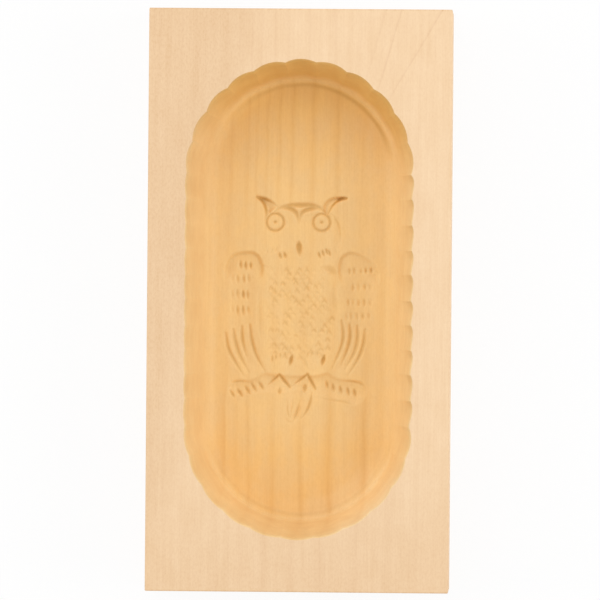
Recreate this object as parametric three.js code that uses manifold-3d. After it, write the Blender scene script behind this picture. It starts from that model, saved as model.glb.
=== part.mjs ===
// A wooden butter mould: one board of pale maple with a long, fluted recess carved into its face.
// Butter is pressed into the recess and struck off level, and turns out as a pat with fluted sides.
// Millimetres. X runs across the board, Y along it and Z up. The origin is the middle of the
// underside, and the recess opens upwards.

import * as THREE from 'three';
import { mergeVertices } from 'three/addons/utils/BufferGeometryUtils.js';
import Module from 'manifold-3d';

// The board
const BOARD_LENGTH = 200;
const BOARD_WIDTH = 104;
const BOARD_THICKNESS = 40;
const BOARD_ARRIS = 0.4; // width of the sanded flat on each edge

// The wood that is left around the recess
const END_RIM = 17.8; // from each end of the board to the mouth
const SIDE_RIM = 13; // from each side of the board to the mouth
const FLOOR_THICKNESS = 13; // under the sunk panel

// The wall of the recess, which leans in so that the butter lets go
const MOUTH_ARRIS = 0.3;
const WALL_RUN = 5.4; // how far the wall leans in, from the mouth to its foot
const FOOT_COVE = 1.6; // length of the rounding on each side of the wall's foot

// The flutes, scooped down the wall with a gouge and fading towards its foot
const END_FLUTE_WIDTH = 11.1; // round each end, at the mouth; the nearest odd number is cut
const SIDE_FLUTE_WIDTH = 8.6; // along each side; the nearest whole number is cut
const END_FLUTE_DEPTH = 0.85; // from the ridge between two flutes to the bottom of the scoop
const SIDE_FLUTE_DEPTH = 0.5;
const FOOT_FLUTE_DEPTH = 0.45; // what is left of that depth at the foot, as a share

// The panel that is sunk into the floor, inside a narrow ledge
const LEDGE_WIDTH = 2.4;
const PANEL_SINK = 1.2;
const PANEL_COVE = 2.2; // how far the hollow step down to the panel reaches in

// How finely the curves are cut into flat faces
const STEPS_PER_FLUTE = 8;
const STEPS_PER_COVE = 3;
const STEPS_PER_END = 36; // round each end of the panel

// How far a cutting body stands out of the wood that it cuts
const OVERCUT = 1;

// Sizes that follow from the ones above
const mouthRadius = BOARD_WIDTH / 2 - SIDE_RIM;
const endSpacing = BOARD_LENGTH - 2 * (END_RIM + mouthRadius); // between the centres of the round ends
const footRadius = mouthRadius - WALL_RUN;
const panelRadius = footRadius - LEDGE_WIDTH;
const panelLevel = FLOOR_THICKNESS;
const ledgeLevel = panelLevel + PANEL_SINK;
const endFlutes = oddNumber((Math.PI * mouthRadius) / END_FLUTE_WIDTH); // so one lies at the tip
const sideFlutes = Math.round(endSpacing / SIDE_FLUTE_WIDTH);

const wasm = await Module();
wasm.setup();

function oddNumber(count) {
  return 2 * Math.round((count - 1) / 2) + 1;
}

function solidFrom(geometry) {
  const bare = new THREE.BufferGeometry();
  bare.setAttribute('position', geometry.getAttribute('position').clone());
  bare.setIndex(geometry.index);
  const merged = mergeVertices(bare, 1e-4);
  const mesh = new wasm.Mesh({
    numProp: 3,
    vertProperties: merged.getAttribute('position').array,
    triVerts: Uint32Array.from(merged.index.array),
  });
  return new wasm.Manifold(mesh);
}

function geometryFrom(solid) {
  const { vertProperties, triVerts } = solid.getMesh();
  const indexed = new THREE.BufferGeometry();
  indexed.setAttribute('position', new THREE.BufferAttribute(vertProperties, 3));
  indexed.setIndex(new THREE.BufferAttribute(triVerts, 1));
  const geometry = indexed.toNonIndexed();
  geometry.computeVertexNormals();
  return geometry;
}

// A closed body through a stack of outlines from top to bottom. Each section is
// { outline, level }, and all the outlines run anticlockwise with equally many points.
function loft(sections) {
  const count = sections[0].outline.length;
  const positions = [];
  for (const { outline, level } of sections) {
    for (const point of outline) positions.push(point.x, point.y, level);
  }
  const indices = [];
  for (let section = 0; section < sections.length - 1; section += 1) {
    for (let i = 0; i < count; i += 1) {
      const upper = section * count + i;
      const upperNext = section * count + ((i + 1) % count);
      const lower = upper + count;
      const lowerNext = upperNext + count;
      indices.push(lower, lowerNext, upperNext, lower, upperNext, upper);
    }
  }
  const last = (sections.length - 1) * count;
  for (const [a, b, c] of THREE.ShapeUtils.triangulateShape(sections[0].outline, [])) {
    indices.push(a, b, c);
  }
  for (const [a, b, c] of THREE.ShapeUtils.triangulateShape(sections.at(-1).outline, [])) {
    indices.push(last + a, last + c, last + b);
  }
  const geometry = new THREE.BufferGeometry();
  geometry.setAttribute('position', new THREE.Float32BufferAttribute(positions, 3));
  geometry.setIndex(indices);
  return geometry;
}

// How far the wall stands in from the bottoms of its flutes, at a place counted in flutes.
// A ridge stands at each whole number, and each scoop is a shallow round between two ridges.
function ridgeAt(place, ridgeDepth) {
  const fromScoop = 2 * (place % 1) - 1;
  return ridgeDepth * fromScoop ** 2;
}

// The fluted outline that reaches out to a radius, with its flutes at a share of their depth.
// One side and one end are laid out, and the other half is the same, turned half round.
function flutedOutline(reach, share) {
  const half = [];
  for (let step = 0; step < sideFlutes * STEPS_PER_FLUTE; step += 1) {
    const place = step / STEPS_PER_FLUTE;
    const ridge = Math.round(place);
    const meetsEnd = ridge === 0 || ridge === sideFlutes;
    const depth = share * (meetsEnd ? END_FLUTE_DEPTH : SIDE_FLUTE_DEPTH);
    const y = (place / sideFlutes - 0.5) * endSpacing;
    half.push(new THREE.Vector2(reach - ridgeAt(place, depth), y));
  }
  for (let step = 0; step < endFlutes * STEPS_PER_FLUTE; step += 1) {
    const place = step / STEPS_PER_FLUTE;
    const angle = (place / endFlutes) * Math.PI;
    const radius = reach - ridgeAt(place, share * END_FLUTE_DEPTH);
    const y = endSpacing / 2 + radius * Math.sin(angle);
    half.push(new THREE.Vector2(radius * Math.cos(angle), y));
  }
  const otherHalf = half.map((point) => point.clone().negate());
  return [...half, ...otherHalf];
}

function plainOutline(radius) {
  const outline = new THREE.Shape();
  outline.absarc(0, endSpacing / 2, radius, 0, Math.PI);
  outline.absarc(0, -endSpacing / 2, radius, Math.PI, 2 * Math.PI);
  return outline.getPoints(STEPS_PER_END);
}

// The board, with the same small flat on all its edges, upright ones too
function makeBoard() {
  const x = BOARD_WIDTH / 2 - BOARD_ARRIS;
  const y = BOARD_LENGTH / 2 - BOARD_ARRIS;
  const corner = BOARD_ARRIS;
  const outline = [
    [x, corner - y], [x, y - corner], [x - corner, y], [corner - x, y],
    [-x, y - corner], [-x, corner - y], [corner - x, -y], [x - corner, -y],
  ];
  const face = new THREE.Shape(outline.map(([px, py]) => new THREE.Vector2(px, py)));
  const board = new THREE.ExtrudeGeometry(face, {
    depth: BOARD_THICKNESS - 2 * BOARD_ARRIS,
    bevelThickness: BOARD_ARRIS,
    bevelSize: BOARD_ARRIS,
    bevelSegments: 1,
  });
  board.translate(0, 0, BOARD_ARRIS);
  return board;
}

// The body that cuts the fluted wall down to the ledge. Its section is drawn from the face
// downwards: x is how far the wall has come in from the mouth, and y is its level.
function makeWallCutter() {
  const wallTop = new THREE.Vector2(MOUTH_ARRIS, BOARD_THICKNESS - MOUTH_ARRIS);
  const foot = new THREE.Vector2(WALL_RUN, ledgeLevel);
  const coveTop = foot.clone().lerp(wallTop, FOOT_COVE / foot.distanceTo(wallTop));
  const section = new THREE.Path();
  section.moveTo(-OVERCUT, BOARD_THICKNESS + OVERCUT);
  section.lineTo(wallTop.x, wallTop.y);
  section.lineTo(coveTop.x, coveTop.y);
  section.quadraticCurveTo(foot.x, foot.y, foot.x + FOOT_COVE, foot.y);

  const wallHeight = BOARD_THICKNESS - ledgeLevel;
  const sections = section.getPoints(STEPS_PER_COVE).map(({ x, y }) => {
    const down = THREE.MathUtils.clamp((BOARD_THICKNESS - y) / wallHeight, 0, 1);
    const share = THREE.MathUtils.lerp(1, FOOT_FLUTE_DEPTH, down);
    return { outline: flutedOutline(mouthRadius - x, share), level: y };
  });
  return loft(sections);
}

// The body that sinks the panel. Its step drops steeply from the ledge and runs out level.
function makePanelCutter() {
  const section = new THREE.Path();
  section.moveTo(0, ledgeLevel + OVERCUT);
  section.lineTo(0, ledgeLevel);
  section.quadraticCurveTo(0, panelLevel, PANEL_COVE, panelLevel);
  const sections = section.getPoints(STEPS_PER_COVE).map(({ x, y }) => {
    return { outline: plainOutline(panelRadius - x), level: y };
  });
  return loft(sections);
}

function makeMould() {
  const carved = solidFrom(makeBoard())
    .subtract(solidFrom(makeWallCutter()))
    .subtract(solidFrom(makePanelCutter()));
  const maple = new THREE.MeshStandardMaterial({ color: '#f0d3aa', roughness: 0.62, metalness: 0 });
  const mould = new THREE.Mesh(geometryFrom(carved), maple);
  mould.name = 'mould_block';
  return mould;
}

const butterMould = new THREE.Group();
butterMould.add(makeMould());

export default butterMould;
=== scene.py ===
"""A wooden butter mould with an owl carved into the floor of its recess.

Lengths are in millimetres in the CAD frame, and turn into metres when the mesh is made. X runs
across the board, Y along it towards the owl's head, and Z up out of the recess.
"""

import math
import random

import bpy
import numpy as np
from mathutils import Euler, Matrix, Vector
from mathutils.geometry import delaunay_2d_cdt


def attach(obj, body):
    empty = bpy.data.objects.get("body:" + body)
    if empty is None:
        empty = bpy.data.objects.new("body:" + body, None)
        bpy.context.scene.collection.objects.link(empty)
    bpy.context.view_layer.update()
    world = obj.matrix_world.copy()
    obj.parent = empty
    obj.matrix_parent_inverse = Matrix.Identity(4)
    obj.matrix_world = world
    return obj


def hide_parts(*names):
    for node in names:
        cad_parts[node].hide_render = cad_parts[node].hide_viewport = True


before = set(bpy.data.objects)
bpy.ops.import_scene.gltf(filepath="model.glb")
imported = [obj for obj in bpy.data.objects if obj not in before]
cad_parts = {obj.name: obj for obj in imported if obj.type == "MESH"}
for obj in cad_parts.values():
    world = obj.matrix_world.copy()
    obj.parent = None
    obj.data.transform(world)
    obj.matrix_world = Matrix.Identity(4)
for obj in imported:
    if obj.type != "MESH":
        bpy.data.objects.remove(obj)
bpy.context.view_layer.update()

MM = 0.001

# The board
BOARD_LENGTH = 200.0
BOARD_WIDTH = 104.0
BOARD_THICKNESS = 40.0
ARRIS = 0.32  # radius of the sanded edges of the face and of the underside
ARRIS_WAVE = 0.09  # how uneven that radius is, as a share
UPRIGHT_ARRIS = 0.4
ARRIS_STEPS = 4
EDGE_STEP = 6.0  # between the points along its edges

# The recess, which is a long hole with round ends, and its wall, which leans in
MOUTH_RADIUS = 39.3
END_SPACING = 86.4
RECESS_Y = 0.3  # a little off the middle
MOUTH_ARRIS = 0.45
MOUTH_CORNER = 0.05
WALL_RUN = 5.7
WALL_WOBBLE = 0.025  # unevenness of the wall at its foot
LEDGE_LEVEL = 14.2
FLOOR_LEVEL = 13.0

# The flutes of the wall
END_FLUTES = 11
SIDE_FLUTES = 10
SIDE_FLUTE_DEPTHS = (0.62, 0.36)  # right and left
END_FLUTE_DEPTHS = (0.88, 0.5)  # upper and lower
DEPTH_CHANGES = (0.85, 1.2)  # each ridge has its own share of that depth
RIDGE_SHIFT = 0.35  # how far a ridge may stand out of line
RIGHT_SKEW = 1.7  # the right side's are deepest nearer to their upper ridges
FLUTE_HOLLOW_SHADE = 0.24  # how much painted shade may darken the hollow of a flute
FLUTE_REACH = 0.97  # how far down the flutes go, as a share of the recess's depth
END_FLUTE_REACH = 1.2  # the same round the ends, where the ledge cuts them off
FLUTE_FADE = 0.8
FLUTE_STOP = 2.0  # height above the ledge in which they end
STEPS_PER_FLUTE = 12

# Rows of faces down the wall, its cove and the step
MOUTH_ROWS = 3
WALL_ROWS = 12
COVE_ROWS = 8
STEP_ROWS = 12

# The wall's foot round the ends: a cove, a narrow ledge and a hollow step to the floor
END_COVE = 2.6
STEP_RADIUS = 32.5
STEP_REACH = 2.6
STEP_CORNER = 1.3
LEDGE_START = (6, 26)  # degrees round an end: where the ledge starts, and in which it grows
LATE_LEDGE_START = (26, 40)  # the same at the upper left

# Along the sides the wall runs out in one long cove instead
SIDE_COVE_HEIGHT = 9.0
SIDE_FLOOR_RADIUS = 28.3

# Grime and painted shade, where 1 is the darkest
# painted shade, with grime, in the crease of the step round the ends
STEP_SHADE_AND_DIRT = 0.58
MOUTH_SHADE = 0.3  # painted shade on the rounded edge at the left of the mouth
SHADE_LEAN = 0.5  # in the upper half, how much more of both lies on the right than the middle
LOWER_SHADE = 0.45  # the lower half's share of both
RIGHT_FLUTE_SHADE = 0.5  # painted shade just below the ridges of the right side
RIGHT_FLUTE_SHADE_REACH = 0.4  # how far down it goes, as a share of the recess's depth
CUT_SHADE_AND_DIRT = 1.3  # grime and painted shade in the owl's cuts, for each mm of depth
UNDARKENED_DEPTH = 0.12  # of a cut that stays undarkened
SHADE_AND_DIRT_SHARE = 0.58  # how far the darkest grime and painted shade hide the wood

# The carved part of the floor
OWL_SHIFT = (-0.8, -0.35)
GRID_SIZE = 0.26
GRID_X = 28.0
GRID_Y = (-43.0, 38.0)
SPLINE_STEPS = 8
GROOVE_POWER = 1.6  # of a groove's section, between a V at 1 and a round one at 2
NICK_SWELL = (0.6, 0.4, 0.2)

# The scales of the owl's breast
SCALE_ROWS = 21
SCALE_TOP = 10.6
SCALE_ROW_HEIGHT = 1.5
SCALE_PITCH = 2.5
SCALE_SHIFT = 0.9
SCALE_LENGTH = 2.2
SCALE_WIDTH = 1.3
SCALE_DEPTH = 0.52

# The growth lines of the board's upper and lower half: place across it, in mm, and strength
UPPER_LINES = (
    (-48, 0.5), (-44.5, 0.3), (-40.5, 0.5), (-35, 0.4), (-30.5, 0.35), (-24.5, 0.5),
    (-18.5, 0.6), (-15.5, 0.5), (-12, 0.65), (-7.5, 0.7), (-3, 0.6), (4.3, 0.75),
    (13, 0.8), (22, 0.4), (33, 0.3), (43, 0.4),
)
LOWER_LINES = (
    (-49, 0.5), (-44, 0.4), (-38, 0.5), (-33.5, 0.3), (-25.7, 0.7), (-21.5, 0.35), (-18, 0.7),
    (-9.4, 0.9), (0.8, 0.85), (11, 1.0), (23.3, 0.9), (33.5, 0.4), (43, 0.4),
)

# The lines that slant across the upper right corner, counted along x where y is CORNER_Y
CORNER_LINES = (
    (10, 0.3), (17.5, 0.4), (21.5, 0.3), (26.9, 0.6), (29.5, 0.1), (32, 1.0),
    (35, 0.1), (39.5, 0.1), (43, 1.0), (46, 0.1),
)
CORNER_Y = 90.0

# How far the lines wander and shiver, in mm, and the shift that undoes the mean of both
LINE_WANDER = 7.0
LINE_SHIVER = 1.4
LINE_SHIFT = -4.2

# How dark a ring is at each share of the way from one line to the next
RING_SHADES = ((0.07, 0.5), (0.18, 0.0), (0.6, 0.0), (0.84, 0.35), (0.95, 0.85))

# The noises of the wood: turns per mm along X, Y and Z, detail and roughness
NOISES = {
    "wander": ((0.012, 0.011, 0.02), 3, 0.5),
    "shiver": ((0.1, 0.06, 0.1), 2, 0.5),
    "line strength": ((0.06, 0.012, 0.05), 2, 0.5),
    "fibre": ((2.6, 0.05, 2.6), 3, 0.6),
    "streak": ((0.55, 0.02, 0.55), 3, 0.5),
    "broad": ((0.05, 0.012, 0.05), 2, 0.5),
    "fleck": ((1.5, 0.8, 2.5), 3, 0.7),
    "mottle": ((0.16, 0.09, 0.16), 3, 0.55),
    "side waves": ((0.02, 0.009, 0.035), 3, 0.45),
    "side patches": ((0.05, 0.02, 0.12), 2, 0.5),
    "end bow": ((0.028, 0.028, 0.011), 1, 0.5),
    "end strength": ((0.12, 0.1, 0.01), 2, 0.5),
    "end pores": ((1.6, 0.5, 0.9), 3, 0.75),
}

# Colours as they show on a screen, 0 to 255
FACE_PALE = (248, 215, 175)
FACE_BROWN = (240, 205, 164)
FACE_LINE = (212, 160, 112)
RECESS_PALE = (244, 203, 138)
RECESS_WARM = (245, 200, 129)
RECESS_LINE = (226, 166, 82)
# painted warm shade on the floor's upper end, where the end wall shades it
HEAD_FLOOR_SHADE = (252, 206, 122)
# pale: partly wear, partly painted light on the ledge, the low wall and the middle floor
WORN_AND_LIT = (250, 217, 161)
# the upper wall's amber: partly the oil's tone, partly painted shade
AMBER_AND_SHADE = (237, 194, 118)
# painted light on the right of the lower end's wall
LIT_WALL_COLOUR = (255, 231, 188)
# painted shade on the mouth's edge at the upper end
MOUTH_SHADE_COLOUR = (206, 150, 104)
# the colour of grime and painted shade in the cuts, creases and flute hollows
SHADE_AND_DIRT_COLOUR = (190, 132, 20)
FLOOR_WHITE = (254, 254, 254)
WHITE = (1.0, 1.0, 1.0, 1.0)

# The mould's materials, by slot
OUTSIDE, RECESS = 0, 1

# The light from all round, and the large lamps: place, in metres, and power
AMBIENT = 0.63
LAMPS = {
    "top": ((-0.4, 1.25, 1.5), 6.4),
    "left": ((-1.6, 0.3, 1.26), 7.9),
    "right": ((1.58, 0.0, 1.3), 10.4),
}
LAMP_SIZE = 1.3

# The white floor, in metres
FLOOR_SIZE = 6.0  # half its width
SHADOW_FADE = (0.3, 1.5)
FLOOR_LIFT = 0.9  # how far it is lifted to white near the mould
SEEN_BY = ("Camera", "Glossy", "Transmission")

# The camera stands far above the face and a little to the right
CAMERA_DISTANCE = 2500.0
CAMERA_SIDE = 77.0
CAMERA_CLIP = (0.1, 20.0)  # metres
SENSOR_WIDTH = 36.0
VIEW_WIDTH = 205.6
VIEW_ROLL = 0.47  # degrees
VIEW_CENTRE = (0.5, 0.15)

chance = random.Random(7)


# Outlines and sections


def ease(share):
    """0 to 1, slow at both ends."""
    share = np.clip(share, 0, 1)
    return share * share * (3 - 2 * share)


def along(place):
    """The middle line's y and the outward direction at a place on the mouth.

    Places are counted in mm, anticlockwise from the foot of the right side, and so are flutes.
    """
    half = END_SPACING / 2
    turned, place = divmod(place, END_SPACING + math.pi * MOUTH_RADIUS)
    sign = -1.0 if turned % 2 else 1.0
    if place < END_SPACING:
        return sign * (place - half), sign, 0.0
    angle = (place - END_SPACING) / MOUTH_RADIUS
    return sign * half, sign * math.cos(angle), sign * math.sin(angle)


def ridge_height(number):
    """The planned height of a ridge. The four at the corners belong to the ends."""
    half, place = divmod(number, SIDE_FLUTES + END_FLUTES)
    return SIDE_FLUTE_DEPTHS[half] if 0 < place < SIDE_FLUTES else END_FLUTE_DEPTHS[half]


def flute_columns():
    """Columns of the recess's surface: place, ridge height, painted shade below a right ridge, and in
    the hollow.
    """
    side_width = END_SPACING / SIDE_FLUTES
    end_width = math.pi * MOUTH_RADIUS / END_FLUTES
    widths = ([side_width] * SIDE_FLUTES + [end_width] * END_FLUTES) * 2
    count = len(widths)
    ridges = [sum(widths[:i]) + chance.uniform(-RIDGE_SHIFT, RIDGE_SHIFT) for i in range(count)]
    depths = [ridge_height(i) * chance.uniform(*DEPTH_CHANGES) for i in range(count)]
    # painted shade in each flute's hollow, of random strength
    hollow_shades = [chance.uniform(0, FLUTE_HOLLOW_SHADE) for _ in range(count)]
    ridges.append(ridges[0] + sum(widths))
    depths.append(depths[0])
    columns = []
    for i in range(count):
        on_right = i < SIDE_FLUTES
        for step in range(STEPS_PER_FLUTE):
            share = 0.5 - 0.5 * math.cos(math.pi * step / STEPS_PER_FLUTE)
            place = ridges[i] + share * (ridges[i + 1] - ridges[i])
            across = 2 * share ** (RIGHT_SKEW if on_right else 1.0) - 1
            depth = depths[i] if across < 0 else depths[i + 1]
            # painted shade below the ridges of the right side
            shade_and_dirt = RIGHT_FLUTE_SHADE * float(ease((share - 0.5) / 0.3)) if on_right else 0.0
            columns.append((place, depth * across**2, shade_and_dirt, hollow_shades[i] * (1 - across**2)))
    return columns


def quadratic(start, corner, stop, steps):
    """Points after the start on the curve from there, towards the corner, to the stop."""
    points = []
    for i in range(1, steps + 1):
        t = i / steps
        a, b, c = (1 - t) ** 2, 2 * t * (1 - t), t * t
        points.append(tuple(a * p + b * q + c * r for p, q, r in zip(start, corner, stop)))
    return points


def wall_profile(cove_top):
    """The wall from the face to the top of its cove: distance in from the mouth, and level."""
    edge = (0.0, BOARD_THICKNESS)
    corner = (MOUTH_CORNER, BOARD_THICKNESS - MOUTH_CORNER)
    top = (MOUTH_ARRIS, BOARD_THICKNESS - MOUTH_ARRIS)
    profile = [edge, *quadratic(edge, corner, top, MOUTH_ROWS)]
    for i in range(1, WALL_ROWS + 1):
        profile.append(tuple(a + (i / WALL_ROWS) * (b - a) for a, b in zip(top, cove_top)))
    return profile


def wall_inset(level):
    """How far the wall has come in from the mouth at a level."""
    down = BOARD_THICKNESS - MOUTH_ARRIS - level
    height = BOARD_THICKNESS - MOUTH_ARRIS - LEDGE_LEVEL
    return MOUTH_ARRIS + (WALL_RUN - MOUTH_ARRIS) * down / height


def end_profile():
    """The recess's section at its ends: distance in from the mouth, level, and painted shade with
    grime.
    """
    cove_top = (wall_inset(LEDGE_LEVEL + END_COVE), LEDGE_LEVEL + END_COVE)
    ledge_edge = (MOUTH_RADIUS - STEP_RADIUS, LEDGE_LEVEL)
    corner = (ledge_edge[0] + STEP_CORNER, FLOOR_LEVEL)
    floor_edge = (ledge_edge[0] + STEP_REACH, FLOOR_LEVEL)
    clean = wall_profile(cove_top)
    clean += quadratic(cove_top, (WALL_RUN, LEDGE_LEVEL), ledge_edge, COVE_ROWS)
    profile = [(inset, level, 0.0) for inset, level in clean]
    for i, (inset, level) in enumerate(quadratic(ledge_edge, corner, floor_edge, STEP_ROWS)):
        # painted shade, with grime, along the step's crease
        shade_and_dirt = STEP_SHADE_AND_DIRT * math.sin(math.pi * (i + 1) / STEP_ROWS) ** 2
        profile.append((inset, level, shade_and_dirt))
    return profile


def side_profile():
    """The section of the recess along its sides, with as many points as at the ends."""
    cove_top = (wall_inset(FLOOR_LEVEL + SIDE_COVE_HEIGHT), FLOOR_LEVEL + SIDE_COVE_HEIGHT)
    corner = (wall_inset(FLOOR_LEVEL), FLOOR_LEVEL)
    floor_edge = (MOUTH_RADIUS - SIDE_FLOOR_RADIUS, FLOOR_LEVEL)
    profile = wall_profile(cove_top)
    profile += quadratic(cove_top, corner, floor_edge, COVE_ROWS + STEP_ROWS)
    return [(inset, level, 0.0) for inset, level in profile]


def sharpness(middle_y, out_x):
    """1 round the recess's ends and 0 along its sides, where the carving is softer."""
    if abs(middle_y) < END_SPACING / 2:
        return 0.0
    turned = math.degrees(math.acos(min(1.0, abs(out_x))))
    start, growing = LATE_LEDGE_START if middle_y > 0 > out_x else LEDGE_START
    return float(ease((turned - start) / growing))


def flute_share(down, level, sharp):
    """What is left of a flute's depth. At the ends the flutes reach the wall's foot."""
    reach = FLUTE_REACH + sharp * (END_FLUTE_REACH - FLUTE_REACH)
    stop = float(ease((level - LEDGE_LEVEL) / FLUTE_STOP))
    return stop * max(0.0, 1 - down / reach) ** FLUTE_FADE


def board_outline():
    """The board's outline inside the rounding of its upright edges, and the way outwards."""
    x = BOARD_WIDTH / 2 - UPRIGHT_ARRIS
    y = BOARD_LENGTH / 2 - UPRIGHT_ARRIS
    corners = [(x, -y, -90), (x, y, 0), (-x, y, 90), (-x, -y, 180)]
    outline = []
    for i, (x0, y0, start) in enumerate(corners):
        for step in range(ARRIS_STEPS + 1):
            angle = math.radians(start + 90 * step / ARRIS_STEPS)
            outward = (math.cos(angle), math.sin(angle))
            outline.append((x0, y0, *outward))
        x1, y1, _ = corners[(i + 1) % 4]
        pieces = round(math.hypot(x1 - x0, y1 - y0) / EDGE_STEP)
        for step in range(1, pieces):
            t = step / pieces
            outline.append((x0 + t * (x1 - x0), y0 + t * (y1 - y0), *outward))
    return outline


# The carving


def spline(points):
    """A smooth path through the points."""
    points = np.array(points, float)
    first = 2 * points[0] - points[1]
    last = 2 * points[-1] - points[-2]
    ends = np.vstack([first, points, last])
    t = np.linspace(0, 1, SPLINE_STEPS, endpoint=False)[:, None]
    path = []
    for a, b, c, d in zip(ends, ends[1:], ends[2:], ends[3:]):
        bend = (2 * a - 5 * b + 4 * c - d) * t**2
        turn = (3 * b - a - 3 * c + d) * t**3
        path.append(0.5 * (2 * b + (c - a) * t + bend + turn))
    path.append(points[-1:])
    return np.vstack(path)


def nearest(path, x, y):
    """Distance to an open path, and the nearest point's share of the way along it."""
    lengths = np.hypot(*np.diff(path, axis=0).T)
    starts = np.concatenate([[0.0], np.cumsum(lengths)])
    best = np.full(x.shape, np.inf)
    where = np.zeros(x.shape)
    for (x0, y0), (x1, y1), start, length in zip(path, path[1:], starts, lengths):
        if length == 0:
            continue
        dx, dy = (x1 - x0) / length, (y1 - y0) / length
        run = np.clip((x - x0) * dx + (y - y0) * dy, 0, length)
        gap = np.hypot(x - x0 - run * dx, y - y0 - run * dy)
        closer = gap < best
        best = np.where(closer, gap, best)
        where = np.where(closer, (start + run) / starts[-1], where)
    return best, where


def inside(path, x, y):
    """Which points lie inside a closed path."""
    hit = np.zeros(x.shape, bool)
    for (x0, y0), (x1, y1) in zip(path, np.roll(path, -1, axis=0)):
        if y0 == y1:
            continue
        crosses = (y0 > y) != (y1 > y)
        hit ^= crosses & (x < x0 + (x1 - x0) * (y - y0) / (y1 - y0))
    return hit


class Carving:
    """The depth of the carving below the floor, on a grid of points."""

    def __init__(self, x, y):
        self.x, self.y = np.meshgrid(x, y)
        self.hollows = np.zeros(self.x.shape)
        self.cuts = np.zeros(self.x.shape)
        # the painted shadow below the upper edges of the hollows
        self.shade_and_dirt = np.zeros(self.x.shape)

    def window(self, path, margin):
        """The part of the grid round a path."""
        x, y = self.x[0], self.y[:, 0]
        (x0, y0), (x1, y1) = path.min(axis=0) - margin, path.max(axis=0) + margin
        return slice(*np.searchsorted(y, (y0, y1))), slice(*np.searchsorted(x, (x0, x1)))

    def hollow(self, edges, depth, edge, stop=None, stop_depth=0.0, reach=1.0, wall=1.1, shade_and_dirt=0.0):
        """Scoops a shape out. It falls to its depth over the edge's width from its outline.

        edges are the stretches of that outline, with corners only where they meet. Next to stop, a
        part of it, the cut is deeper and carries painted shadow: it slopes down over the wall's width,
        and rises again over the reach.
        """
        outline = np.vstack([spline(points) for points in edges])
        part = self.window(outline, GRID_SIZE)
        x, y = self.x[part], self.y[part]
        gap, _ = nearest(np.vstack([outline, outline[:1]]), x, y)
        gap = np.where(inside(outline, x, y), gap, 0.0)
        made = depth * ease(gap / edge)
        if stop is not None:
            away, _ = nearest(spline(stop), x, y)
            deeper = ease(gap / wall) * np.clip(1 - away / reach, 0, 1) ** 1.3
            made += stop_depth * deeper
            # painted shadow below the stop edge
            self.shade_and_dirt[part] = np.maximum(self.shade_and_dirt[part], shade_and_dirt * deeper)
        self.hollows[part] = np.maximum(self.hollows[part], made)

    def groove(self, points, width, depth, swell):
        """Cuts a groove. swell is its first size, where it is widest, and its last size."""
        first, widest, last = swell
        path = spline(points)
        part = self.window(path, width)
        away, place = nearest(path, self.x[part], self.y[part])
        rise = first + (1 - first) * np.sin(0.5 * math.pi * np.clip(place / widest, 0, 1))
        past = np.clip((place - widest) / (1 - widest), 0, 1)
        drop = last + (1 - last) * np.cos(0.5 * math.pi * past)
        size = np.where(place < widest, rise, drop)
        across = np.clip(away / (0.5 * width * size), 0, 1)
        made = depth * size * (1 - across**GROOVE_POWER)
        self.cuts[part] = np.maximum(self.cuts[part], made)

    def grooves(self, cuts):
        """Cuts several grooves: points, width, depth and swell."""
        for cut in cuts:
            self.groove(*cut)

    def ring(self, x, y, radius, width, depth):
        """Cuts a round groove."""
        path = np.array([[x - radius, y - radius], [x + radius, y + radius]])
        part = self.window(path, width)
        away = np.abs(np.hypot(self.x[part] - x, self.y[part] - y) - radius)
        made = depth * (1 - np.clip(2 * away / width, 0, 1) ** GROOVE_POWER)
        self.cuts[part] = np.maximum(self.cuts[part], made)

    def nick(self, x, y, length, width, depth, lean=0.0):
        """A short gouge cut, deepest above its middle. Lean turns its foot to the right."""
        dx, dy = lean * length / 2, length / 2
        self.groove([(x - dx, y + dy), (x, y), (x + dx, y - dy)], width, depth, NICK_SWELL)

    def nicks(self, places, *cut):
        """The same nick at several places."""
        for x, y in places:
            self.nick(x, y, *cut)

    def depth(self):
        """The whole depth, with its sharpest edges worn a little."""
        total = self.hollows + self.cuts
        for axis in (0, 1):
            before, after = np.roll(total, 1, axis), np.roll(total, -1, axis)
            total = 0.5 * total + 0.25 * (before + after)
        return total


def carve_ears(owl):
    """Two pointed ears, cut deepest along their outer edges."""
    left = [
        [(-14.7, 35.7), (-12.8, 34.2), (-11.7, 32.4), (-11.2, 30.6), (-11.6, 28.4)],
        [(-11.6, 28.4), (-10.2, 30.4), (-8.8, 31.6), (-7, 32.8)],
        [(-7, 32.8), (-9.2, 34.4), (-11.3, 35.5), (-13, 36), (-14.7, 35.7)],
    ]
    right = [
        [(16.2, 35.8), (13.6, 34.8), (11.8, 33.7), (10.6, 31.9), (9.6, 29.2)],
        [(9.6, 29.2), (8.3, 31), (7.8, 33)],
        [(7.8, 33), (9, 35), (10.9, 36.2), (13.4, 36.6), (16.2, 35.8)],
    ]
    for ear in (left, right):
        owl.hollow(ear, 0.6, 1.3, stop=ear[0], stop_depth=1.5, reach=3, wall=0.8, shade_and_dirt=0.12)
    left_outer = [(-14.6, 36), (-12.7, 34.6), (-11.7, 32.4), (-11.4, 30.2), (-12, 27.8)]
    left_upper = [(-14.8, 36), (-11.8, 35.3), (-9.4, 34.1), (-7.8, 33)]
    right_outer = [(16, 35.8), (13.4, 35), (11.7, 33.6), (10.6, 31.7), (9.8, 29.8)]
    right_tip = [(16.4, 35.8), (14.2, 35.7), (12.4, 34.8)]
    owl.groove(left_outer, 1.5, 1.1, (0.8, 0.3, 0.3))
    owl.groove(left_upper, 1.7, 0.9, (0.8, 0.3, 0.2))
    owl.groove(right_outer, 1.2, 1.1, (0.8, 0.25, 0.35))
    owl.groove(right_tip, 1.3, 1.5, (0.7, 0.3, 0.1))


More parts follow.
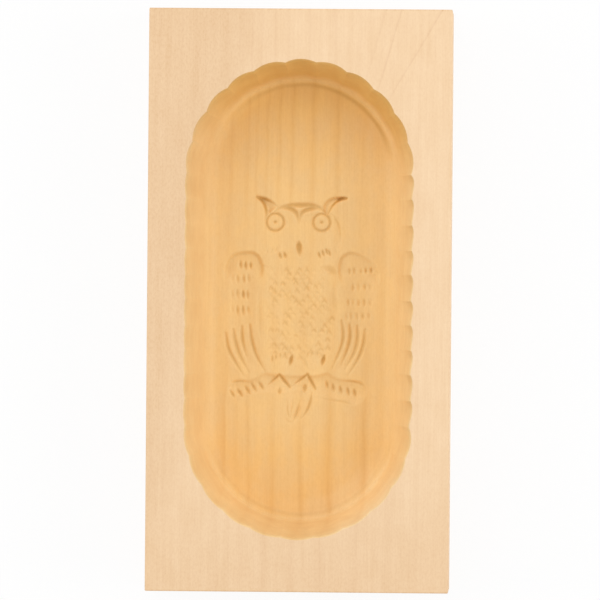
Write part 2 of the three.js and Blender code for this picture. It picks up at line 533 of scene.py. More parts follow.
def carve_face(owl):
    """The broad, shallow face, with a line down its right side."""
    left = [(-11.7, 29.5), (-12.4, 26.3), (-12.5, 22.2), (-12.4, 18.7), (-12.4, 14), (-11.6, 7)]
    bottom = [(-11.6, 7), (0, 4), (9, 6)]
    right = [(9, 6), (12.9, 12), (13.6, 16.1), (14.2, 19.9), (14.4, 23.3), (14, 26.8), (11.2, 30.3)]
    top = [(11.2, 30.3), (7.6, 31.9), (4.6, 33.3), (0, 33.7), (-4.6, 33.4), (-8.6, 31.9), (-11.7, 29.5)]
    owl.hollow([left, bottom, right, top], 0.9, 7, stop=right[2:], stop_depth=0.5, reach=3)
    line = [(11.2, 30.4), (12.5, 28.8), (13.6, 26.6), (14.2, 23.6), (14.1, 18.4)]
    owl.groove(line, 1.1, 0.5, (0.5, 0.4, 0.2))


def carve_brow(owl):
    """The brow, and two cuts that run from it down to the beak."""
    brow = [
        (-8.6, 31.1), (-6.2, 32.5), (-2.8, 33.2), (0.6, 33.3), (4.6, 33.2), (7.6, 32.1),
        (10.2, 29.9),
    ]
    left = [(-6, 32.4), (-3.2, 32.2), (-1.3, 30.9), (-0.6, 29.2), (-0.2, 26.8)]
    right = [(6.6, 32.4), (4, 32.2), (1.7, 31.3), (0.5, 29.9), (0.1, 27.6)]
    owl.groove(brow, 2.2, 0.85, (0.35, 0.5, 0.3))
    for cut in (left, right):
        owl.groove(cut, 2.1, 0.85, (0.6, 0.35, 0.3))


def carve_eyes(owl):
    """Two ringed eyes with round pupils."""
    for x, y in ((-8.4, 27.4), (7.8, 27.4)):
        owl.ring(x, y, radius=2.95, width=1.1, depth=0.72)
        owl.ring(x, y, radius=0, width=1.4, depth=0.75)


def carve_cheeks(owl):
    """The beak, and the short cuts on both sides of it."""
    owl.groove([(-0.1, 20.6), (0, 18.6), (0.2, 15.8)], 2.4, 1.05, (0.5, 0.3, 0.4))
    owl.nicks([(-6.5, 15.6), (-4.9, 15.8)], 2.4, 1.2, 0.8, 0.3)
    owl.nicks([(-11, 16.9), (-9.5, 17.2), (-8.1, 17.6)], 2.4, 0.9, 0.3, -0.3)
    owl.nicks([(7.1, 15.9), (8.4, 16.6), (9.7, 17.2), (10.6, 16.6)], 2.4, 0.9, 0.85, 0.35)


def carve_wings(owl):
    """Both wings, cut deep below their upper edges."""
    left_top = [(-25.9, 11.6), (-24.7, 14.8), (-22.4, 16.8), (-19.5, 17.5), (-15.8, 17.5)]
    left_top += [(-13.6, 16.1), (-12.4, 13.8), (-11.8, 11.6)]
    left = [
        left_top,
        [(-11.8, 11.6), (-12.4, 4), (-12.4, -8.7), (-11.4, -17), (-10.9, -24.6)],
        [(-10.9, -24.6), (-15.4, -26.4), (-19.2, -25.8), (-22.8, -21.3), (-25.2, -15.1), (-26.6, -8.6)],
        [(-26.6, -8.6), (-27, 0), (-26.6, 7), (-25.9, 11.6)],
    ]
    right_top = [(28.2, 10), (26, 13.7), (23, 15.9), (20.4, 17.2), (17.5, 17.6)]
    right_top += [(15.1, 16.5), (13.7, 14.3), (13.1, 10)]
    right = [
        right_top,
        [(13.1, 10), (14.4, 4), (14.6, -5), (14.6, -11.4), (13.4, -17.7), (11, -24)],
        [(11, -24), (14, -25.6), (17.5, -26.1), (20.3, -22.7), (23, -17.8), (25.6, -10.1)],
        [(25.6, -10.1), (27.6, -1.5), (28.4, 5), (28.2, 10)],
    ]
    owl.hollow(left, 0.8, 5.5, stop=left_top, stop_depth=1.7, reach=5, wall=1.7, shade_and_dirt=0.45)
    owl.hollow(right, 0.8, 5.5, stop=right_top, stop_depth=1.3, reach=4.5, wall=1.7, shade_and_dirt=0.22)


def carve_wing_nicks(owl):
    """Rows of short cuts on the wings: the row's y, the x of each cut, length and depth."""
    left_rows = [
        (12.2, (-20.4, -18.6, -16.9), 2.8, 0.95),
        (7.5, (-23.1, -21.4, -19.3, -17.7), 3.1, 0.62),
        (2.1, (-23.1, -21.4, -19.3, -17.9), 3.1, 0.75),
        (-3.4, (-23.1, -21.4, -19.4, -17.7), 3.3, 0.66),
    ]
    right_rows = [
        (10.5, (17.6, 19.3, 21.6, 23.3, 25.3), 2.5, 0.6),
        (4.7, (19.1, 21, 23, 24.9), 2.6, 0.42),
        (-0.5, (17.5, 19, 21, 22.9, 25), 2.6, 0.46),
        (-5.3, (16.8, 18.5, 20.5, 22.5, 24.4), 2.6, 0.46),
    ]
    for row_y, row, row_length, row_depth in left_rows + right_rows:
        for row_x in row:
            x = row_x + chance.uniform(-0.12, 0.12)
            y = row_y + chance.uniform(-0.2, 0.2)
            length = row_length * chance.uniform(0.9, 1.1)
            outermost = 0.5 if row_x < -22 else 1.0
            depth = row_depth * outermost * chance.uniform(0.6, 1.1)
            owl.nick(x, y, length, 1.3, depth, 0.06)


def carve_feathers(owl):
    """The long feathers in the lower part of both wings."""
    feathers = [
        [(-25.3, -11.1), (-24.4, -16.2), (-22.1, -20.8), (-18.8, -26)],
        [(-22.7, -9.8), (-21.8, -14.6), (-20.1, -19.2), (-17, -24.8)],
        [(-19.8, -8.8), (-19.5, -13.6), (-18, -19.4)],
        [(-17, -8.3), (-16.3, -13.6), (-14.5, -19.2), (-11.2, -24.8)],
        [(15, -6.4), (15.7, -11), (15, -15.6), (11.6, -23.6)],
        [(17.9, -8), (18.1, -12.4), (17, -17), (15, -21.8)],
        [(20.5, -8.2), (20.6, -12.4), (19.4, -17.6), (16.2, -23.4)],
        [(23.2, -9.4), (22.5, -15.2), (20.5, -20.4), (17.2, -25.6)],
    ]
    for feather in feathers:
        owl.groove(feather, 1.6, 0.64, (0.7, 0.35, 0.4))


def carve_breast(owl):
    """The breast between the wings, with soft lines round it."""
    left = [
        (-9.5, 20), (-11.6, 12.3), (-11.4, 5), (-11.2, -3.5), (-11.1, -12.2), (-11.1, -18.1),
        (-9.9, -22.9),
    ]
    legs = [
        (-9.9, -22.9), (-7.1, -25.2), (-2.9, -24.9), (0.2, -22.8), (3.3, -24.9), (7.5, -25.2),
        (10.8, -23),
    ]
    right = [
        (10.8, -23), (13.2, -16.9), (13.6, -11), (13.4, -6.6), (11, -3.4), (8.6, 0.4),
        (9.2, 6), (11, 12), (9, 20),
    ]
    top = [(9, 20), (0, 23), (-9.5, 20)]
    owl.hollow([left, legs, right, top], 1.4, 8, stop=legs, stop_depth=0.25, reach=2.5)
    owl.grooves([
        ([(8, 11.9), (10.8, 11.2), (13.2, 9.2)], 3.4, 0.52, (0.4, 0.6, 0.4)),
        ([(12.6, 6), (12.4, 1), (13.4, -4.4)], 3.4, 0.26, (0.3, 0.6, 0.3)),
        ([(-13.8, 3), (-13.6, -4), (-12.9, -15)], 2.4, 0.26, (0.3, 0.5, 0.3)),
        ([(7.6, 0.6), (10.2, -2.4), (13.2, -6.6)], 1.6, 0.25, (0.2, 0.5, 0.2)),
        ([(-14.4, 13.1), (-11.6, 11.9), (-8.5, 11.6)], 1.2, 0.2, (0.2, 0.5, 0.2)),
        ([(-6, 11.4), (-5.9, 7.6)], 1.1, 0.25, (0.5, 0.3, 0.2)),
    ])


def carve_scale(owl, x, y):
    """One scale of the breast: two short cuts that cross near their tops."""
    x += chance.uniform(-0.35, 0.35)
    depth = SCALE_DEPTH * chance.uniform(0.1, 1)
    length = SCALE_LENGTH * chance.uniform(0.7, 1.3)
    y += chance.uniform(-0.4, 0.4)
    owl.nick(x, y, length, SCALE_WIDTH, depth, 0.7)
    owl.nick(x - 0.9, y + 0.1, length, SCALE_WIDTH, 0.8 * depth, -0.6)


def carve_scales(owl):
    """Rows of scales, every other one set off. Lower down they reach further right."""
    for row in range(SCALE_ROWS):
        y = SCALE_TOP - row * SCALE_ROW_HEIGHT
        half = 9.2 + 1.2 * math.sin((SCALE_TOP - y) * 0.11)
        further = 1.8 if y < -5 else 0.0
        for column in range(-5, 6):
            x = (column + 0.5 * (row % 2)) * SCALE_PITCH + SCALE_SHIFT
            if -half < x < half + further:
                carve_scale(owl, x, y)


def carve_legs(owl):
    """The short cuts on both legs, and the gap between them."""
    owl.groove([(1.6, -17.6), (2.3, -20.4), (3.7, -23.9)], 1.8, 0.35, (0.4, 0.5, 0.3))
    owl.nick(-9, -20.2, 2.8, 1, 0.62)
    owl.nicks([(-7.7, -19.4), (-6.2, -18.9), (-4.6, -18.7)], 2, 1, 0.62)
    owl.nicks([(3.3, -18.4), (4.7, -18.1), (6.6, -18.2)], 2, 1, 0.5)
    owl.nicks([(-2.6, -20.6), (8.6, -20.5)], 3.8, 1.6, 1.1, -0.22)


def carve_branch(owl):
    """The branch, cut deeper below its upper edge, with hatched ends."""
    top = [
        (-24.4, -30), (-22.8, -27.6), (-20.2, -27.1), (-17.3, -27.2), (-14.6, -26.3),
        (-12.6, -25), (-10.8, -24.6), (-6.4, -25.3), (0.5, -25.5), (6.8, -25.2),
        (10, -24.3), (12.6, -25.7), (15.8, -26.7), (20.2, -26.9), (22.7, -28),
        (24.2, -30.6),
    ]
    low = [
        (24.2, -30.6), (23.2, -34.2), (20, -36.2), (15.8, -35), (10.9, -34.3), (6.2, -33),
        (0, -32.6), (-5, -32.5), (-10.5, -31.9), (-14.7, -32.4), (-18.1, -33.2),
        (-21.6, -34.8), (-24.4, -30),
    ]
    owl.hollow([top, low], 0.9, 3.2, stop=top, stop_depth=0.7, reach=3.2, wall=1.4, shade_and_dirt=0.22)
    owl.grooves([
        ([(-23.2, -28.4), (-20.2, -27.9), (-16.8, -28.1)], 1.3, 0.4, (0.4, 0.4, 0.2)),
        ([(15, -27.5), (19.2, -27.8), (21.8, -28.5), (23.2, -30)], 1.3, 0.45, (0.2, 0.6, 0.4)),
        ([(6.2, -32.9), (10.9, -34), (15.6, -34.6), (19.8, -35.8)], 1.4, 0.38, (0.3, 0.75, 0.3)),
    ])
    left_hatches = [(-22.6, -32.4), (-20.1, -32), (-17.4, -31.1), (-15.3, -30), (-12.7, -29.5)]
    right_hatches = [(10.2, -29), (12.4, -30), (15, -30.8), (17.6, -31.3), (19.9, -31.7)]
    owl.nicks(left_hatches, 2.9, 1.3, 0.72, 0.7)
    owl.nicks(right_hatches, 3, 1.3, 0.76, 0.25)


def carve_claws(owl):
    """The feet: two claws that spread from each leg, and one between them."""
    owl.grooves([
        ([(-6.4, -25.4), (-10.8, -29.3)], 1.05, 0.8, (1, 0.3, 0.35)),
        ([(-6.6, -25.4), (-2.8, -29.8)], 1.25, 0.95, (0.9, 0.4, 0.7)),
        ([(-6.4, -29.4), (-6.4, -32.1)], 1.3, 0.75, (0.2, 0.7, 0.5)),
        ([(3.4, -25.2), (-2, -29.3)], 1.05, 0.8, (1, 0.3, 0.35)),
        ([(3.2, -25.2), (6.1, -30.3)], 1.25, 0.95, (0.9, 0.4, 0.7)),
        ([(2.6, -28.4), (2.1, -31.9)], 1.8, 0.8, (0.3, 0.4, 0.2)),
    ])


def carve_tail(owl):
    """The tail below the branch, and its feathers."""
    tail = [
        [(-5, -30), (-4.1, -36.4), (-3.2, -40.4), (-1.1, -42.6)],
        [(-1.1, -42.6), (1.6, -40.9), (3.8, -36.3), (5.3, -30)],
        [(5.3, -30), (0, -28), (-5, -30)],
    ]
    owl.hollow(tail, 0.7, 3.6)
    owl.grooves([
        ([(-3.4, -34), (-3.6, -37.2), (-2.9, -40.6)], 0.9, 0.5, (0.3, 0.7, 0.5)),
        ([(-1.4, -32.4), (-2, -37), (-2.6, -41)], 0.9, 0.35, (0.3, 0.6, 0.4)),
        ([(0.7, -34), (-0.1, -37.6), (-1.3, -41.2)], 1, 0.62, (0.3, 0.6, 0.5)),
        ([(5, -31), (4.3, -34.8), (3.1, -37.9), (1.3, -40.6)], 1.2, 0.72, (0.4, 0.5, 0.4)),
        ([(-4.6, -40.4), (-2.8, -41.8), (-0.6, -41.4)], 1.1, 0.28, (0.3, 0.5, 0.3)),
    ])


def carve_owl():
    """The columns and rows of the grid, and the owl that is carved on it."""
    columns = np.linspace(-GRID_X, GRID_X, round(2 * GRID_X / GRID_SIZE) + 1)
    rows = np.linspace(*GRID_Y, round((GRID_Y[1] - GRID_Y[0]) / GRID_SIZE) + 1)
    owl = Carving(columns - OWL_SHIFT[0], rows - OWL_SHIFT[1])
    steps = [carve_ears, carve_face, carve_brow, carve_eyes, carve_cheeks, carve_wings]
    steps += [carve_wing_nicks, carve_feathers, carve_breast, carve_scales, carve_legs]
    for carve in [*steps, carve_branch, carve_claws, carve_tail]:
        carve(owl)
    return columns, rows, owl


# The mesh


class Surface:
    """Collects the points and faces of one closed surface."""

    def __init__(self):
        self.points = []
        self.cavity = []
        self.faces = []
        self.smooth = []
        self.slots = []

    def add(self, points, cavity=None):
        """Adds points, and how much grime and painted shade darken each. Returns their numbers."""
        first = len(self.points)
        self.points.extend(points)
        self.cavity.extend(cavity or [0.0] * len(points))
        return range(first, len(self.points))

    def face(self, corners, slot, smooth):
        self.faces.append(tuple(corners))
        self.slots.append(slot)
        self.smooth.append(smooth)

    def band(self, ring, following, slot, smooth=True):
        """Joins two anticlockwise rings. The second is further up, or further inwards."""
        count = len(ring)
        for i in range(count):
            j = (i + 1) % count
            self.face((ring[i], ring[j], following[j], following[i]), slot, smooth)

    def fill(self, outer, inner, slot):
        """Fills the flat space between two rings."""
        indices = [*outer, *inner]
        flat = [self.points[i][:2] for i in indices]
        edges = []
        for start, count in ((0, len(outer)), (len(outer), len(inner))):
            edges += [(start + i, start + (i + 1) % count) for i in range(count)]
        spots, _, triangles, sources, _, _ = delaunay_2d_cdt(flat, edges, [], 1, 1e-7)
        middles = np.array([[sum(spots[i][k] for i in t) / 3 for k in (0, 1)] for t in triangles])
        hole = np.array([self.points[i][:2] for i in inner])
        for triangle, in_hole in zip(triangles, inside(hole, *middles.T)):
            if not in_hole:
                self.face([indices[sources[i][0]] for i in triangle], slot, False)


def arris_radii(count):
    """The radius of a sanded edge at each point of the outline, a little uneven."""
    waves = [(chance.uniform(0, 6.3), chance.randint(2, 9)) for _ in range(4)]
    radii = []
    for i in range(count):
        uneven = sum(math.sin(start + n * math.tau * i / count) for start, n in waves)
        radii.append(ARRIS * (1 + ARRIS_WAVE * uneven))
    return radii


def sanded_edge(surface, outline, on_face):
    """The rings of points round a sanded edge, from the lowest to the highest."""
    radii = arris_radii(len(outline))
    rings = []
    for step in range(ARRIS_STEPS + 1):
        angle = 0.5 * math.pi * (ARRIS_STEPS - step if on_face else step) / ARRIS_STEPS
        inward, onward = 1 - math.sin(angle), 1 - math.cos(angle)
        points = []
        for radius, (x, y, out_x, out_y) in zip(radii, outline):
            reach = UPRIGHT_ARRIS - radius * inward
            level = BOARD_THICKNESS - radius * onward if on_face else radius * onward
            points.append((x + reach * out_x, y + reach * out_y, level))
        rings.append(surface.add(points))
    return rings


def build_outside(surface):
    """The underside and the sides. Returns the ring at the face's edge."""
    outline = board_outline()
    rings = sanded_edge(surface, outline, on_face=False) + sanded_edge(surface, outline, on_face=True)
    surface.face(reversed(rings[0]), OUTSIDE, False)
    for i, (below, above) in enumerate(zip(rings, rings[1:])):
        surface.band(below, above, OUTSIDE, smooth=i != ARRIS_STEPS)
    return rings[-1]


def wall_waves():
    """The waves of the uneven wall: start, number round it, and turn per mm of height."""
    draw = chance.uniform
    return [(draw(0, 6.3), chance.randint(5, 40), draw(0.2, 0.7)) for _ in range(6)]


def edge_shade_and_dirt(row, shade_and_dirt, middle_y, out_x):
    """The painted shade and grime in the step, and the painted shade in the first rows, which round the
    mouth off.
    """
    if 0 < row <= MOUTH_ROWS:
        shade_and_dirt = MOUTH_SHADE * max(0.0, -out_x)
    return shade_and_dirt * (1 + SHADE_LEAN * out_x if middle_y > 0 else LOWER_SHADE)


def build_recess(surface, face_edge):
    """The recess down to its floor. Returns the ring at the floor's edge."""
    columns = flute_columns()
    waves = wall_waves()
    sections = list(zip(side_profile(), end_profile()))
    rings = [[] for _ in sections]
    shade_and_dirt = [[] for _ in sections]
    for i, (place, ridge, flute_shade, hollow_shade) in enumerate(columns):
        turn = math.tau * i / len(columns)
        middle_y, out_x, out_y = along(place)
        sharp = sharpness(middle_y, out_x)
        for row, (side, end) in enumerate(sections):
            inset, level, dark = (a + sharp * (b - a) for a, b in zip(side, end))
            down = (BOARD_THICKNESS - level) / (BOARD_THICKNESS - FLOOR_LEVEL)
            wobble = sum(math.sin(start + n * turn + level * rate) for start, n, rate in waves)
            share = flute_share(down, level, sharp)
            radius = MOUTH_RADIUS - inset - share * ridge - WALL_WOBBLE * down * wobble
            rings[row].append((radius * out_x, middle_y + radius * out_y + RECESS_Y, level))
            # painted shade below the right side's ridges, and in the flute hollows
            shade_in_flute = flute_shade * max(0.0, 1 - down / RIGHT_FLUTE_SHADE_REACH)
            shade_and_dirt[row].append(max(edge_shade_and_dirt(row, dark, middle_y, out_x), shade_in_flute, hollow_shade * share))
    made = [surface.add(ring, dirty) for ring, dirty in zip(rings, shade_and_dirt)]
    surface.fill(face_edge, made[0], OUTSIDE)
    for outer, inner in zip(made, made[1:]):
        surface.band(outer, inner, RECESS)
    return made[-1]


def build_floor(surface, border):
    """The floor: the grid with the owl, and the flat space up to the border."""
    columns, rows, owl = carve_owl()
    x, y = np.meshgrid(columns, rows)
    points = np.stack([x, y, FLOOR_LEVEL - owl.depth()], axis=-1).reshape(-1, 3)
    # the cuts darken with grime and painted shade, and the hollows below their upper edges with painted
    # shadow
    cavity = np.clip(CUT_SHADE_AND_DIRT * (owl.cuts - UNDARKENED_DEPTH), owl.shade_and_dirt, 1).reshape(-1)
    made = surface.add([tuple(point) for point in points.tolist()], cavity.tolist())
    wide, tall = len(columns), len(rows)
    lines = [made[row * wide : (row + 1) * wide] for row in range(tall)]
    for low, high in zip(lines, lines[1:]):
        for i in range(wide - 1):
            surface.face((low[i], low[i + 1], high[i + 1], high[i]), RECESS, True)
    edge = list(lines[0][:-1])
    edge += [line[-1] for line in lines[:-1]]
    edge += reversed(lines[-1][1:])
    edge += [line[0] for line in reversed(lines[1:])]
    surface.fill(border, edge, RECESS)


def make_object(name, data):
    """Makes an object and puts it into the scene."""
    made = bpy.data.objects.new(name, data)
    bpy.context.collection.objects.link(made)
    return made


def build_mould(materials):
    """The whole mould as one closed mesh."""
    surface = Surface()
    face_edge = build_outside(surface)
    border = build_recess(surface, face_edge)
    build_floor(surface, border)
    mesh = bpy.data.meshes.new("carved_mould")
    points = [(x * MM, y * MM, z * MM) for x, y, z in surface.points]
    mesh.from_pydata(points, [], surface.faces)
    for material in materials:
        mesh.materials.append(material)
    mesh.polygons.foreach_set("material_index", surface.slots)
    mesh.polygons.foreach_set("use_smooth", surface.smooth)
    # how much grime and painted shade darken each point
    cavity = mesh.attributes.new("cavity", "FLOAT", "POINT")
    cavity.data.foreach_set("value", surface.cavity)
    mesh.update()
    return make_object("carved_mould", mesh)


# The materials


def linear(colour):
    """A colour that is given as it shows on a screen, 0 to 255."""
    made = []
    for value in colour:
        value /= 255
        made.append(value / 12.92 if value <= 0.04045 else ((value + 0.055) / 1.055) ** 2.4)
    return (*made, 1.0)


class Value:
    """A number or colour that a material works out, with sums and products."""

    def __init__(self, tree, socket):
        self.tree = tree
        self.socket = socket

    def __add__(self, other):
        return self.tree.math("ADD", self, other)

    def __sub__(self, other):
        return self.tree.math("SUBTRACT", self, other)

    def __rsub__(self, other):
        return self.tree.math("SUBTRACT", other, self)

    def __mul__(self, other):
        return self.tree.math("MULTIPLY", self, other)

    def __abs__(self):
        return self.tree.math("ABSOLUTE", self)

    __radd__ = __add__
    __rmul__ = __mul__


class Tree:
    """Makes the nodes of a material, or of the world."""

    def __init__(self, owner):
        owner.use_nodes = True
        self.nodes = owner.node_tree.nodes
        self.links = owner.node_tree.links

    def set(self, node, **sockets):
        """Sets or links sockets. An underscore stands for a space, or starts a number."""
        for name, value in sockets.items():
            name = name.strip("_").replace("_", " ")
            socket = node.inputs[int(name) if name.isdigit() else name]
            if isinstance(value, Value):
                self.links.new(value.socket, socket)
            else:
                socket.default_value = value

    def add(self, kind, output=0, **settings):
        """Makes a node and returns its output. Names in small letters aren't sockets."""
        node = self.nodes.new("ShaderNode" + kind)
        for name in [name for name in settings if name.islower()]:
            setattr(node, name, settings.pop(name))
        self.set(node, **settings)
        return Value(self, node.outputs[output])

    def math(self, operation, first, second=0.0):
        return self.add("Math", operation=operation, _0=first, _1=second)

    def band(self, value, low, high, to_low=0.0, to_high=1.0):
        """Maps low to high onto to_low to to_high, and smooths it."""
        limits = {"From_Min": low, "From_Max": high, "To_Min": to_low, "To_Max": to_high}
        return self.add("MapRange", interpolation_type="SMOOTHSTEP", Value=value, **limits)

    def ramp(self, place, stops, ends):
        """Reads colours off a scale from 0 to 1: its two ends, and the stops between them."""
        node = self.nodes.new("ShaderNodeValToRGB")
        self.set(node, Fac=place)
        scale = node.color_ramp.elements
        for stop, colour in stops:
            scale.new(stop).color = colour
        scale[0].color, scale[-1].color = ends
        return Value(self, node.outputs["Color"])

    def mix(self, share, first, second, blend="MIX"):
        """Mixes two colours. Those that aren't worked out are as they show on a screen."""
        first, second = (c if isinstance(c, Value) else linear(c) for c in (first, second))
        kind = {"data_type": "RGBA", "blend_type": blend}
        return self.add("Mix", output=2, **kind, _0=share, _6=first, _7=second)

    def seen(self):
        """1 for what the camera sees by itself, in a reflection or through clear matter."""
        rays = [self.add("LightPath", output=f"Is {kind} Ray") for kind in SEEN_BY]
        return self.math("MAXIMUM", self.math("MAXIMUM", rays[0], rays[1]), rays[2])

    def show(self, share, shader, bright, output):
        """Shows a bright shader in place of another one, by a share."""
        shown = self.add("MixShader", _0=share, _1=shader, _2=bright)
        self.set(self.nodes[output], Surface=shown)


class Maple(Tree):
    """Maple sawn on the quarter: the rings stand almost upright and run along the board."""

    def __init__(self, name):
        self.material = bpy.data.materials.new(name)
        super().__init__(self.material)
        place = self.add("TexCoord", output="Object")
        self.spot = self.add("VectorMath", operation="SCALE", _0=place, Scale=1 / MM)
        self.x, self.y, self.z = (self.add("SeparateXYZ", output=i, _0=self.spot) for i in range(3))
        self.noises = {}

    def noise(self, name):
        """One of the noises, from 0 to 1, made when it is first asked for."""
        if name not in self.noises:
            scale, detail, roughness = NOISES[name]
            place = self.add("VectorMath", operation="MULTIPLY", _0=self.spot, _1=scale)
            made = self.add("TexNoise", Vector=place, Scale=1.0, Detail=detail, Roughness=roughness)
            self.noises[name] = made
        return self.noises[name]

    def finish(self, colour, smoothest, roughest):
        """Sets the colour, the roughness, which follows the fibres, and a fine relief."""
        fibre, fleck = self.noise("fibre"), self.noise("fleck")
        relief = self.add("Bump", Height=0.7 * fibre + 0.3 * fleck, Distance=0.00002, Strength=0.35)
        shader = self.nodes["Principled BSDF"]
        roughness = self.band(fibre, 0.25, 0.75, smoothest, roughest)
        self.set(shader, Base_Color=colour, Roughness=roughness, Normal=relief)
        self.set(shader, IOR=1.5, Specular_IOR_Level=0.32)
        return self.material


def growth(wood, x, lines):
    """The growth rings: each darkens towards its line, and the next one starts pale."""
    rings = len(lines) + 1
    stops = []
    for number, (line, strength) in enumerate(lines, 1):
        stops.append((line / BOARD_WIDTH + 0.5, (number / rings, strength, 0, 1)))
    read = wood.ramp(x * (1 / BOARD_WIDTH) + 0.5, stops, ((0, 0, 0, 1), (1, 0, 0, 1)))
    count = wood.add("SeparateColor", output="Red", Color=read) * rings
    strength = wood.add("SeparateColor", output="Green", Color=read)
    shades = [(place, (grey, grey, grey, 1)) for place, grey in RING_SHADES]
    return wood.ramp(wood.math("FRACT", count), shades, (WHITE, WHITE)) * strength


def growth_rings(wood, corner):
    """How dark the growth rings are, in the lower half, the upper half and its corner."""
    shiver = wood.noise("shiver")
    sway = LINE_WANDER * wood.noise("wander") + LINE_SHIVER * shiver + LINE_SHIFT
    across = wood.x + sway + 0.08 * (wood.z - FLOOR_LEVEL)
    upper = growth(wood, across - 0.04 * wood.y + 2, UPPER_LINES)
    lower = growth(wood, across, LOWER_LINES)
    above = wood.y - CORNER_Y
    slope = wood.band(wood.x - 0.4 * above, 34, 40, -0.3, -0.6)
    slanted = growth(wood, wood.x + slope * above + 0.35 * sway, CORNER_LINES)
    upper = upper + corner * (slanted - upper)
    share = wood.band(wood.y + 16.0 * shiver, -6, 22)
    strength = wood.band(wood.noise("line strength"), 0.25, 0.6, 0.35, 1)
    off_owl = wood.band(abs(wood.y), 25, 42, 0.45, 1)
    return (lower + share * (upper - lower)) * strength * off_owl


def corner_share(wood):
    """1 in the board's upper right corner and 0 away from it."""
    return wood.band(wood.y, 52, 84) * wood.band(wood.x, 8, 30)


def pulses(wood, value):
    """A soft dark line at each whole number."""
    return wood.band(wood.math("PINGPONG", value, 0.5), 0, 0.28, 1, 0)


def side_figure(wood):
    """The shade of the long sides, where rings cut almost flat show as waves."""
    waves = pulses(wood, 9.0 * wood.noise("side waves") + 0.07 * wood.z)
    patchy = wood.band(wood.noise("side patches"), 0.3, 0.7, 0.2, 1)
    on_side = wood.band(abs(wood.x) - BOARD_WIDTH / 2, -0.7, -0.2)
    return 1.0 - 0.075 * waves * patchy * on_side


def end_figure(wood):
    """The shade of the end grain: darker, with close upright rings and fine pores."""
    across = 0.27 * wood.x + 0.02 * wood.z + 6.0 * wood.noise("end bow")
    rings = pulses(wood, across) * wood.noise("end strength")
    pores = wood.band(wood.noise("end pores"), 0.35, 0.7)
    on_end = wood.band(abs(wood.y) - BOARD_LENGTH / 2, -0.7, -0.2)
    return 1.0 - (0.14 * rings + 0.06 * pores + 0.03) * on_end


def grain(wood, streak_low, mottle_low, fleck_share):
    """The shade of the streaks, fibres, mottles and flecks, about 1 on the whole."""
    streaks = wood.band(wood.noise("streak"), 0.3, 0.7, streak_low, 1.012)
    fibres = wood.band(wood.noise("fibre"), 0.3, 0.7, 0.976, 1.02)
    mottles = wood.band(wood.noise("mottle"), 0.3, 0.7, mottle_low, 1.018)
    flecks = wood.band(wood.noise("fleck"), 0.38, 0.68) * fleck_share
    return streaks * fibres * mottles * (1.01 - flecks)


def shaded(wood, colour, shade):
    """A colour under a shade, warmer where it is darker."""
    tint = wood.add("CombineColor", Red=0.6 * shade + 0.4, Green=shade, Blue=1.5 * shade - 0.5)
    return wood.mix(1, colour, tint, "MULTIPLY")


def plain_maple():
    """The outside's maple, browner towards its left edge and its lower end."""
    wood = Maple("maple")
    left = wood.band(22.0 * wood.noise("broad") + wood.x - 0.2 * wood.y, -36, -6, 1, 0)
    brown = wood.math("MAXIMUM", left, wood.band(wood.y, -102, -45, 0.75, 0))
    colour = wood.mix(brown, FACE_PALE, FACE_BROWN)
    corner = corner_share(wood)
    lines = growth_rings(wood, corner) * (0.1 * corner + 0.13)
    colour = wood.mix(lines, colour, FACE_LINE)
    shade = grain(wood, 0.975, 0.974, 0.04 * brown + 0.048) * side_figure(wood) * end_figure(wood)
    return wood.finish(shaded(wood, colour, shade), 0.54, 0.68)


def recess_colours(wood):
    """The floor, paler in its middle and warmer at its upper end, and the wall, amber at the upper end.
    The paler parts are partly wear and partly painted light; the warmth and part of the amber are
    painted shade.
    """
    mottled = wood.band(wood.noise("mottle"), 0.35, 0.65)
    colour = wood.mix(mottled, RECESS_PALE, RECESS_WARM)
    # paler middle floor: partly wear, partly painted light
    colour = wood.mix(wood.band(abs(wood.y), 38, 58, 0.28, 0), colour, WORN_AND_LIT)
    # painted warm shade on the floor at the upper end
    colour = wood.mix(wood.band(wood.y, 57, 70, 0, 0.55), colour, HEAD_FLOOR_SHADE)
    height = wood.z - FLOOR_LEVEL
    # paler ledge and foot of the wall: partly wear, partly painted light
    colour = wood.mix(wood.band(height, 0.2, 2.6, 0, 0.5), colour, WORN_AND_LIT)
    # amber wall, deepest to the upper right: partly the oil's tone, partly painted shade
    to_right = wood.y + 0.35 * wood.math("MAXIMUM", wood.x, 0)
    wall = wood.mix(wood.band(to_right, 50, 78), WORN_AND_LIT, AMBER_AND_SHADE)
    return wood.mix(wood.band(height, 1.6, 8), colour, wall)


def light_lower_end(wood, colour):
    """The lower end, where painted light makes the step, the ledge and the wall's right paler."""
    lower_end = wood.band(wood.y, -66, -50, 1, 0)
    down = wood.math("MINIMUM", wood.y + END_SPACING / 2, 0)
    from_middle = wood.add("CombineXYZ", X=wood.x, Y=down)
    away = wood.add("VectorMath", output="Value", operation="LENGTH", _0=from_middle)
    # painted light on the floor by the step and on the ledge, which face the lamp beyond the head
    lit_step = wood.band(away, 24, 28, 0, 0.5) * wood.band(wood.x, -14, 10, 0.2, 1)
    ledge = wood.band(wood.z - LEDGE_LEVEL, 0.1, 0.9, 0, 0.85)
    lit_step = wood.math("MAXIMUM", lit_step, ledge)
    colour = wood.mix(lit_step * lower_end, colour, WORN_AND_LIT)
    # painted light on the right of the wall
    lit_wall = wood.band(wood.x, 2, 26) * wood.band(wood.z, 20, 38, 0.2, 0.7)
    return wood.mix(lit_wall * lower_end, colour, LIT_WALL_COLOUR)


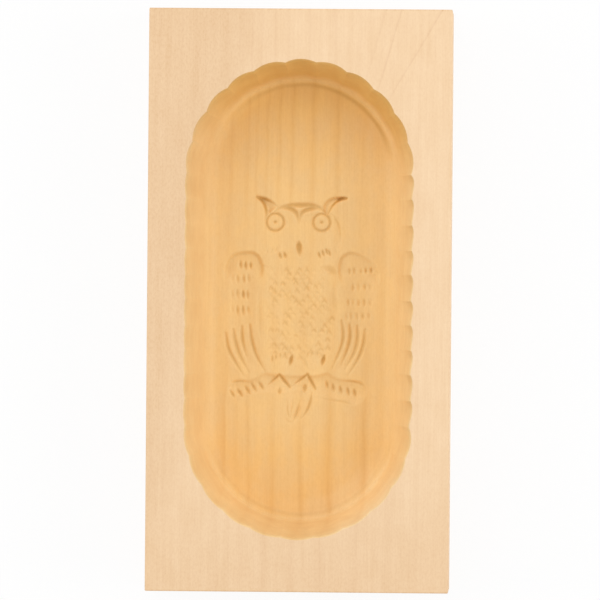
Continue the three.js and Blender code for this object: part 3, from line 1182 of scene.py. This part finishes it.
def oiled_maple():
    """The recess's maple, oiled by the butter and worn smooth, with grime and painted shade in its
    cuts, and painted light and shade in its colour.
    """
    wood = Maple("oiled_maple")
    colour = light_lower_end(wood, recess_colours(wood))
    # painted shade along the mouth's edge at the upper end
    mouth = wood.band(wood.z - BOARD_THICKNESS, -0.8, -0.4) * wood.band(wood.y, 30, 60, 0, 0.22)
    colour = wood.mix(mouth, colour, MOUTH_SHADE_COLOUR)
    line_share = wood.band(wood.z - FLOOR_LEVEL, 0.1, 2.5, 0.4, 0.16)
    lines = growth_rings(wood, corner_share(wood)) * line_share
    colour = wood.mix(lines, colour, RECESS_LINE)
    shade = grain(wood, 0.988, wood.band(wood.z, 14.5, 18, 0.974, 0.93), 0.048)
    colour = shaded(wood, colour, shade)
    # grime and painted shade, from the points' darkening
    shade_and_dirt = wood.add("Attribute", output="Fac", attribute_name="cavity") * SHADE_AND_DIRT_SHARE
    return wood.finish(wood.mix(shade_and_dirt, colour, SHADE_AND_DIRT_COLOUR), 0.42, 0.56)


# The floor, the light and the camera


def make_floor():
    """A floor that the camera sees as white, with a soft shadow left on it."""
    material = bpy.data.materials.new("white_floor")
    tree = Tree(material)
    matt = tree.nodes["Principled BSDF"]
    tree.set(matt, Base_Color=linear(FLOOR_WHITE), Roughness=0.9, Specular_IOR_Level=0.1)
    place = tree.add("TexCoord", output="Object")
    away = tree.add("VectorMath", output="Value", operation="LENGTH", _0=place)
    lifted = tree.seen() * tree.band(away, *SHADOW_FADE, FLOOR_LIFT, 1.0)
    glow = tree.add("Emission", Color=WHITE, Strength=1.0)
    tree.show(lifted, Value(tree, matt.outputs[0]), glow, "Material Output")
    mesh = bpy.data.meshes.new("floor")
    size = FLOOR_SIZE
    corners = [(-size, -size, 0), (size, -size, 0), (size, size, 0), (-size, size, 0)]
    mesh.from_pydata(corners, [], [(0, 1, 2, 3)])
    mesh.materials.append(material)
    floor = make_object("floor", mesh)


def make_world():
    """Soft light from all round. The camera and reflections see plain white."""
    world = bpy.data.worlds.new("studio")
    bpy.context.scene.world = world
    tree = Tree(world)
    soft = tree.nodes["Background"]
    tree.set(soft, Color=WHITE, Strength=AMBIENT)
    plain = tree.add("Background", Color=WHITE, Strength=1.0)
    tree.show(tree.seen(), Value(tree, soft.outputs[0]), plain, "World Output")


def make_lamps():
    """Three large soft lamps, one beyond the head and one at each side."""
    for name, (place, power) in LAMPS.items():
        data = bpy.data.lights.new(name, "AREA")
        data.shape = "DISK"
        data.size = LAMP_SIZE
        data.energy = power
        lamp = make_object(name, data)
        lamp.location = place
        lamp.rotation_euler = (-lamp.location).to_track_quat("-Z", "Y").to_euler()


def make_camera():
    """A far camera that looks down, from a little to the right of the board."""
    data = bpy.data.cameras.new("camera")
    data.sensor_width = SENSOR_WIDTH
    data.lens = SENSOR_WIDTH * CAMERA_DISTANCE / VIEW_WIDTH
    data.clip_start, data.clip_end = CAMERA_CLIP
    camera = make_object("camera", data)
    turn = Euler((0, math.asin(CAMERA_SIDE / CAMERA_DISTANCE), math.radians(VIEW_ROLL)))
    aim = Vector((*VIEW_CENTRE, BOARD_THICKNESS))
    back = turn.to_matrix() @ Vector((0, 0, CAMERA_DISTANCE))
    camera.location = (aim + back) * MM
    camera.rotation_euler = turn
    bpy.context.scene.camera = camera


def main():
    mould = build_mould([plain_maple(), oiled_maple()])
    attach(mould, "root")
    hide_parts("mould_block")
    make_floor()
    make_world()
    make_lamps()
    make_camera()
    bpy.context.scene.view_settings.view_transform = "Standard"


main()
